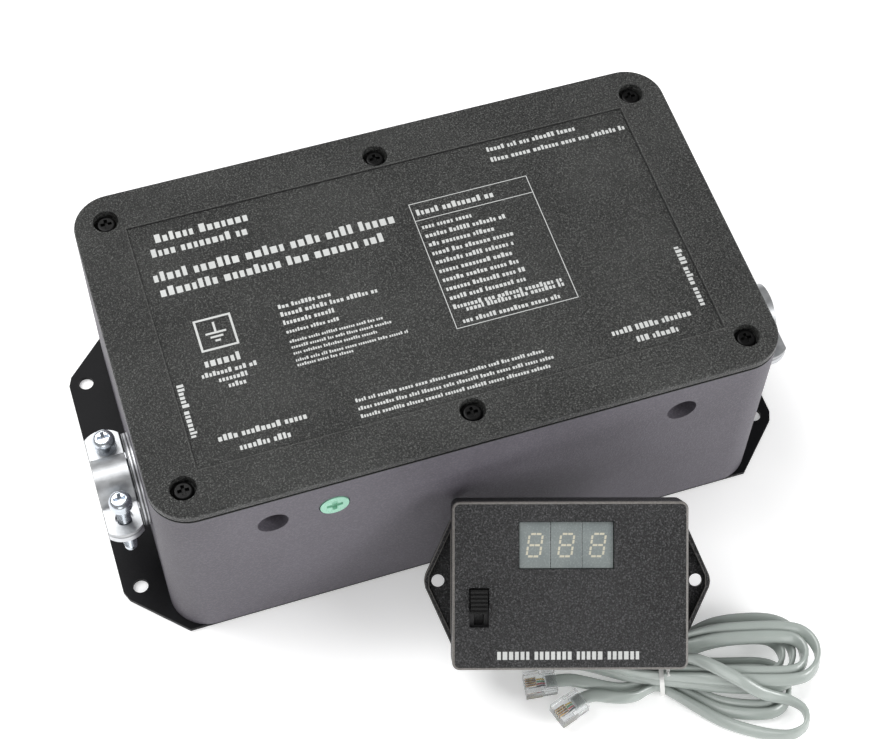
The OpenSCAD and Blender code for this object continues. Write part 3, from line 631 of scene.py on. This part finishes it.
tieOutline = []
corners = (("right", "low", -90), ("right", "top", 0), ("left", "top", 90), ("left", "low", 180))
for edge, level, start in corners:
    r = tie["corner"]
    q0 = tie[edge] + (-r if edge == "right" else r)
    z0 = tie[level] + (r if level == "low" else -r)
    for a in range(start, start + 91, 15):
        c, s = math.cos(rad(a)), math.sin(rad(a))
        tieOutline.append((q0 + r * c, z0 + r * s, c, s))
band = bmesh.new()
bandRound(band, tieOutline, tie["half"], tie["thick"], tie["slant"])
twist = []
for k in range(tie["steps"] + 1):
    t = k / tie["steps"]
    q = -1.0 - tie["tail"] * t
    z = tie["top"] + 0.35 + 0.5 * math.sin(math.pi * t)
    turn = t * math.pi * tie["twists"]
    x, y = hankPlace(0.9 + 0.7 * t, q)
    wide, high = tie["tailHalf"] * math.cos(turn), tie["tailHalf"] * math.sin(turn)
    thin = (-tie["tailThin"] * math.sin(turn), tie["tailThin"] * math.cos(turn))
    ring = []
    for a, b in ((1, 1), (-1, 1), (-1, -1), (1, -1)):
        point = Vector((x + a * wide + b * thin[0], y, z + 0.35 + (a * high + b * thin[1]) * 0.6))
        ring.append(band.verts.new(point * mm))
    twist.append(ring)
for first, second in zip(twist, twist[1:]):
    for k in range(4):
        band.faces.new((first[k], first[(k + 1) % 4], second[(k + 1) % 4], second[k]))
band.faces.new(twist[0])
band.faces.new(twist[-1])
bmesh.ops.recalc_face_normals(band, faces=band.faces)
soften(band, 0.12, 2, angle=50)
hankTie = publish("hankTie", band, "tie", "root", ["cable_tie"])

# plugs: clear bodies, sprung latches, gold blades and the four wires inside
plugs = {
    "a": {"place": (11.4, -146.5, 3.3), "turn": 172, "latch": "latch_a"},
    "b": {"place": (19, -157, 3.2), "turn": -162, "latch": "latch_b"},
}
wireTones = {
    "wireBlack": (0.02, 0.02, 0.02), "wireRed": (0.5, 0.03, 0.02),
    "wireGreen": (0.04, 0.3, 0.07), "wireYellow": (0.7, 0.5, 0.05),
}
for name, tone in wireTones.items():
    finishes[name] = coated(name, tone, 0.35, 0.12, 0.4, 0.004)
wireRun = {"spread": (-1.53, -0.51, 0.51, 1.53), "radius": 0.36, "sides": 8}


def plugPiece(key, part, node, width, segments, finish, body):
    bm = copyOf(node)
    soften(bm, width, segments)
    publish(f"plug{part}{key.upper()}", bm, finish, body, [node])


for key, plug in plugs.items():
    plugPiece(key, "Body", f"plug_{key}_body", 0.22, 2, "clear", "root")
    plugPiece(key, "Latch", f"plug_{key}_latch", 0.14, 2, "clear", plug["latch"])
    plugPiece(key, "Blades", f"plug_{key}_contacts", 0.08, 1, "gold", "root")
    seat = Matrix.Translation(plug["place"]) @ Matrix.Rotation(rad(plug["turn"] - 90), 4, "Z")
    aim = seat.to_3x3().to_4x4() @ Matrix.Rotation(rad(90), 4, "X")
    wires = bmesh.new()
    sides = wireRun["sides"]
    for k, x in enumerate(wireRun["spread"]):
        run = [(x * 0.85, 4.6, 3.4), (x * 0.9, 6.2, 3.3), (x, 7.6, 3.0), (x, 11.6, 3.0)]
        rings = []
        for point in run:
            spot = Matrix.Translation(seat @ Vector(point) * mm) @ aim
            made = bmesh.ops.create_circle(wires, cap_ends=False, segments=sides,
                                           radius=wireRun["radius"] * mm, matrix=spot)
            rings.append(made["verts"])
        for first, second in zip(rings, rings[1:]):
            for i in range(sides):
                face = wires.faces.new((first[i], first[(i + 1) % sides], second[(i + 1) % sides], second[i]))
                face.material_index = k
        for cap in (rings[0], rings[-1]):
            wires.faces.new(cap).material_index = k
    bmesh.ops.recalc_face_normals(wires, faces=wires.faces)
    publish(f"plugWires{key.upper()}", wires, list(wireTones), "root",
                          even=False)
cordLength * mm
hank["width"] * mm
[[c * mm for c in point[:3]] for point in cordPath]
print("plugs and tie made")


# CAD nodes kept in shape, with their edges softened
softened = {                             # node: (piece, finish, edge width)
    "mounting_plate": ("mountingPlate", "plate", 0.35),
    "plate_screws": ("plateScrews", "steel", 0.15),
    "enclosure_base": ("enclosureBase", "wall", 0.35),
    "lid_screws": ("lidScrews", "blackScrew", 0.14),
    "ground_screw_front": ("groundScrewFront", "green", 0.3),
    "ground_screw_rear": ("groundScrewRear", "green", 0.3),
    "ground_bar_front": ("groundBarFront", "tinned", 0.25),
    "ground_bar_rear": ("groundBarRear", "tinned", 0.25),
    "line_connector_body": ("lineConnectorBody", "castZinc", 0.4),
    "load_connector_body": ("loadConnectorBody", "castZinc", 0.4),
    "line_locknut": ("lineLocknut", "castZinc", 0.3),
    "load_locknut": ("loadLocknut", "castZinc", 0.3),
    "line_clamp_strap": ("lineClampStrap", "strapZinc", 0.3),
    "load_clamp_strap": ("loadClampStrap", "strapZinc", 0.3),
    "line_clamp_screw_far": ("lineClampScrewFar", "zinc", 0.2),
    "line_clamp_screw_near": ("lineClampScrewNear", "zinc", 0.2),
    "load_clamp_screws": ("loadClampScrews", "zinc", 0.2),
    "main_board": ("mainBoard", "board", 0.12),
    "board_standoffs": ("boardStandoffs", "brass", 0.2),
    "board_screws": ("boardScrews", "steel", 0.12),
    "line_terminal_block": ("lineTerminalBlock", "block", 0.25),
    "load_terminal_block": ("loadTerminalBlock", "block", 0.25),
    "line_terminal_screws": ("lineTerminalScrews", "steel", 0.12),
    "load_terminal_screws": ("loadTerminalScrews", "steel", 0.12),
    "contactor_base": ("contactorBase", "block", 0.4),
    "contactor_armature": ("contactorArmature", "phenolic", 0.3),
    "contactor_contacts": ("contactorContacts", "copper", 0.15),
    "contactor_coil": ("contactorCoil", "coil", 0.3),
    "current_transformer": ("currentTransformer", "epoxy", 1.6),
    "power_transformer_core": ("powerTransformerCore", "stack", 0.3),
    "power_transformer_bobbin": ("powerTransformerBobbin", "tape", 0.6),
    "filter_capacitors": ("filterCapacitors", "sleeve", 0.6),
    "control_chips": ("controlChips", "chip", 0.2),
    "data_jack": ("dataJack", "block", 0.25),
    "display_board": ("displayBoard", "board", 0.12),
    "bypass_switch_body": ("bypassSwitchBody", "block", 0.2),
    "display_jack": ("displayJack", "block", 0.2),
    "display_screws": ("displayScrews", "steel", 0.1),
}
for node, (piece, finish, width) in softened.items():
    copied = copyOf(node)
    soften(copied, width)
    publish(piece, copied, finish, nodeBody(node), [node])
print("softened pieces:", len(softened))

# varistors: three blue discs and two orange, domed at their rims
varistors = copyOf("surge_varistors")
soften(varistors, 1.2, 3, lambda at, e: at.z > 18 and (e.verts[0].co - e.verts[1].co).length < 2 * mm)
for face in varistors.faces:
    face.material_index = 1 if face.calc_center_median().x > 54 * mm else 0
publish("surgeVaristors", varistors, ["blueDisc", "orangeDisc"], "root", ["surge_varistors"])

# lid: rounded outer edge, shallow label recess and crisp counterbores
lidShape = {"edge": 0.7, "recess": 0.12, "top": 97.0}
lid = copyOf("lid")


def onLidRim(at, edge):
    x, y = abs(at.x), abs(at.y)
    onCorner = x > 112.5 and y > 62 and math.hypot(x - 112.5, y - 62) > 15.8
    return at.z > lidShape["top"] - 0.1 and (x > 126 or y > 75.5 or onCorner)


def onLidInside(at, edge):
    return not (at.z > lidShape["top"] - 0.95 and max(abs(at.x) - 128, abs(at.y) - 77.5) > 0)


soften(lid, lidShape["edge"], 4, onLidRim)
soften(lid, lidShape["recess"], 2, onLidInside, angle=50)
publish("lidCover", lid, "lid", "lid", ["lid"])
print("lid made")


# remote display
displayStand = {"at": (21, -127.7, 52.1), "turn": (33, 0, -17.3)}
displayTurn = Euler([rad(a) for a in displayStand["turn"]], "XYZ").to_matrix().to_4x4()
displaySeat = Matrix.Translation(Vector(displayStand["at"]) * mm) @ displayTurn
toDisplay = displaySeat.inverted()


def displayPoint(point):
    return toDisplay @ (point * mm) / mm


shell = copyOf("display_front_shell")


def onShellRim(at, edge):
    here = displayPoint(at)
    x, y = abs(here.x), abs(here.y)
    outside = x > 46 or y > 32.6 or math.hypot(x - 43.5, y - 30.15) > 2.8
    return here.z > -0.1 and (x > 43 or y > 30) and outside


def onShellWindow(at, edge):
    here = displayPoint(at)
    return here.z > -0.1 and abs(here.x) < 41


# the outer rim bevel takes the pale edge finish, a painted highlight
soften(shell, 1.0, 4, onShellRim, material=1)
soften(shell, 0.3, 2, onShellWindow)
publish("displayFrontShell", shell, ["display", "displayEdgeHighlight"], "display",
        ["display_front_shell"])

# back plate: a pale line of painted highlight along the ears' raised rims
backPlate = copyOf("display_back_plate")


def onEarRim(at, edge):
    here = displayPoint(at)
    return here.z > -14.2 and abs(here.x) > 46.6


# the ear rims take the pale edge finish, a painted highlight
soften(backPlate, 0.45, 3, onEarRim, material=1)
soften(backPlate, 0.3, 2, lambda at, edge: displayPoint(at).z < -15)
publish("displayBackPlate", backPlate, ["display", "displayEdgeHighlight"], "display",
        ["display_back_plate"])

# three modules side by side, each with a raised seven-segment figure of short pale bars
ledFace = {
    "pitch": 12.4, "centre": (-1.6, 15.9), "face": -1.4, "slant": 0.14,
    "wide": 5.2, "high": 8.8, "bar": 0.8, "thick": 0.06, "corner": 0.75, "split": 0.3,
}
for name in ("left", "middle", "right"):
    module = copyOf(f"led_module_{name}")
    soften(module, 0.3, 2)
    publish(f"ledModule{name.title()}", module, "filter", "display", [f"led_module_{name}"])
segments = bmesh.new()
italic = Matrix.Identity(4)
italic[0][1] = ledFace["slant"]
halfWide, halfHigh, bar = ledFace["wide"] / 2, ledFace["high"] / 2, ledFace["bar"]
strokes = [(0, y, True) for y in (-halfHigh, 0, halfHigh)]
strokes += [(x, y, False) for x in (-halfWide, halfWide) for y in (-halfHigh / 2, halfHigh / 2)]
for k in range(3):
    middle = (ledFace["centre"][0] + (k - 1) * ledFace["pitch"], ledFace["centre"][1], ledFace["face"])
    figure = displaySeat @ Matrix.Translation(Vector(middle) * mm) @ italic
    for x, y, flat in strokes:
        length = (halfWide if flat else halfHigh / 2) - ledFace["corner"]
        for part in (-0.5, 0.5):
            shift = part * (length + ledFace["split"])
            if flat:
                at, size = (x + shift, y, 0), (length, bar, ledFace["thick"])
            else:
                at, size = (x, y + shift, 0), (bar, length, ledFace["thick"])
            spot = Matrix.Translation(Vector(at) * mm) @ Matrix.Diagonal((*[c * mm for c in size], 1))
            bmesh.ops.create_cube(segments, size=1, matrix=figure @ spot)
publish("ledSegments", segments, "segment", "display", even=False)

# knob: seven ribs across its upper part
knob = copyOf("bypass_switch_knob")
soften(knob, 0.14, 2)
publish("bypassKnob", knob, "knob", "bypass_knob", ["bypass_switch_knob"])
print("display made")


# pale print: rows of plain blocks, a square with an earth sign and a ruled frame
chance = random.Random(11)
lidPrint = {
    "level": 96.5, "thick": 0.05,
    "rows": [                            # left end, right end, baseline, height
        (-98, -56, 48.5, 4.2), (-101, -61, 41.8, 4.0),
        (-103, 0, 29.6, 4.7), (-102, -9, 22.0, 4.5),
        (-59, -37, 2.7, 2.0), (-59, -18, -1.2, 2.2), (-59, -37, -5.3, 2.2), (-59, -37, -9.5, 1.7),
        (-59, -20, -14.1, 1.4), (-59, -17.5, -16.9, 1.4), (-59, -24, -19.8, 1.4),
        (-59, -13, -23.2, 1.4), (-59, -36, -25.5, 1.4),
        (-93.5, -76.5, -15.4, 3.8), (-96, -73, -19.9, 2.2), (-90, -77, -23.4, 2.2), (-87, -79, -26.8, 2.2),
        (-97, -61, -49.2, 2.7), (-90, -70, -55.2, 2.7),
        (7.8, 41, 30.2, 3.0),
        (46, 86, 53.2, 2.4), (46, 106, 47.6, 2.4),
        (64, 98, -49.0, 2.7), (72.6, 90, -54.6, 2.7),
        (-42, 36, -48.0, 1.7), (-42, 39, -51.8, 1.7), (-42, 36, -55.4, 1.7),
        (12.5, 54, -20.4, 2.2), (9.4, 50.6, -25.6, 2.2),
    ],
    "upright": [(-105.2, -45.7, -20, 2.7), (104.2, -46, -16, 2.7)],
    "codes": {"left": 7.8, "top": 23.0, "pitch": 4.57, "high": 2.2,
              "ends": (29, 43, 36, 43, 41, 39, 40, 42, 41, 54)},
    "badge": {"x": -85.6, "y": -0.6, "half": 7.2, "line": 0.9, "stem": 4.6, "bars": (8.4, 5.2, 2.2)},
    "rule": 0.32,
    "frame": (6, -27.3, 57.3, 36.5, 27.7),
}


def stamp(bm, seat, u, v, wide, high, thick):
    size = Matrix.Diagonal((wide * mm, high * mm, thick * mm, 1))
    bmesh.ops.create_cube(bm, size=1, matrix=seat @ Matrix.Translation(Vector((u, v, 0)) * mm) @ size)


# blocks of uneven width and two heights, parted into groups; widths and gaps are shares of the height
block = {"narrow": 0.36, "wide": 0.58, "gap": 0.22, "space": 0.42, "least": 0.3, "group": (3, 8)}


def blockRow(bm, seat, left, right, base, high, thick, low=0.72):
    u = left
    group = chance.randint(*block["group"])
    while u < right - high * block["least"]:
        wide = min(high * chance.uniform(block["narrow"], block["wide"]), right - u)
        tall = high * chance.choice((low, low, low, 1.0))
        stamp(bm, seat, u + wide / 2, base + tall / 2, wide, tall, thick)
        u += wide + high * block["gap"]
        group -= 1
        if group == 0:
            u += high * block["space"]
            group = chance.randint(*block["group"])


def ruledFrame(bm, seat, x0, y0, x1, y1, line, thick):
    for y in (y0, y1):
        stamp(bm, seat, (x0 + x1) / 2, y, x1 - x0 + line, line, thick)
    for x in (x0, x1):
        stamp(bm, seat, x, (y0 + y1) / 2, line, y1 - y0 - line, thick)


top = Matrix.Translation((0, 0, lidPrint["level"] * mm))
thick = lidPrint["thick"]
printed = bmesh.new()
for left, right, base, high in lidPrint["rows"]:
    blockRow(printed, top, left, right, base, high, thick)
for x, low, high, size in lidPrint["upright"]:
    turned = top @ Matrix.Translation((x * mm, high * mm, 0)) @ Matrix.Rotation(rad(-90), 4, "Z")
    blockRow(printed, turned, 0, high - low, -size / 2, size, thick)
codes = lidPrint["codes"]
for k, right in enumerate(codes["ends"]):
    blockRow(printed, top, codes["left"], right, codes["top"] - codes["pitch"] * k, codes["high"], thick)
x0, y0, x1, y1, headline = lidPrint["frame"]
ruledFrame(printed, top, x0, y0, x1, y1, lidPrint["rule"], thick)
stamp(printed, top, (x0 + x1) / 2, headline, x1 - x0 - 0.4, lidPrint["rule"], thick)
badge = lidPrint["badge"]
x, y, half, line = badge["x"], badge["y"], badge["half"], badge["line"]
ruledFrame(printed, top, x - half, y - half, x + half, y + half, line, thick)
stamp(printed, top, x, y + 2.9, line, badge["stem"], thick)
for k, wide in enumerate(badge["bars"]):
    stamp(printed, top, x, y + 0.1 - 1.9 * k, wide, line, thick)
bmesh.ops.recalc_face_normals(printed, faces=printed.faces)
publish("lidPrint", printed, "print", "lid", even=False)

nameRow = {"left": -28.8, "right": 28.6, "base": -29.0, "high": 3.2}
namePlate = bmesh.new()
blockRow(namePlate, displaySeat, nameRow["left"], nameRow["right"], nameRow["base"], nameRow["high"],
         thick, low=1.0)
bmesh.ops.recalc_face_normals(namePlate, faces=namePlate.faces)
publish("displayPrint", namePlate, "print", "display", even=False)
print("print laid")

# threads on the four clamp screws
thread = {"pitch": 0.95, "root": 2.45, "crest": 2.84, "steps": 14, "flank": 0.42}
clampScrews = [                          # name, x, y, top, bottom, body
    ("lineThreadNear", -138.5, -46, 62.0, 30.4, "line_near_screw"),
    ("lineThreadFar", -138.5, -12, 51.0, 30.6, "line_clamp"),
    ("loadThreadNear", 138.5, -46, 51.0, 30.6, "load_clamp"),
    ("loadThreadFar", 138.5, -12, 51.0, 30.6, "load_clamp"),
]
for name, x, y, high, low, body in clampScrews:
    helix = bmesh.new()
    turns = (high - low) / thread["pitch"]
    steps = round(turns * thread["steps"])
    half = thread["pitch"] * thread["flank"]
    profile = [(thread["root"], -half), (thread["crest"], 0), (thread["root"], half)]
    verts = [helix.verts.new(Vector((x + r, y, low + z)) * mm) for r, z in profile]
    edges = [helix.edges.new((verts[i], verts[(i + 1) % 3])) for i in range(3)]
    made = bmesh.ops.spin(helix, geom=verts + edges, cent=Vector((x, y, low)) * mm, axis=(0, 0, 1),
                          dvec=(0, 0, (high - low) * mm / steps), angle=2 * math.pi * turns, steps=steps,
                          use_merge=False, use_duplicate=False)
    helix.faces.new(verts)
    helix.faces.new([v for v in made["geom_last"] if isinstance(v, bmesh.types.BMVert)])
    bmesh.ops.recalc_face_normals(helix, faces=helix.faces)
    publish(name, helix, "zinc", body, smoothTo=30, even=False)
print("threads cut")
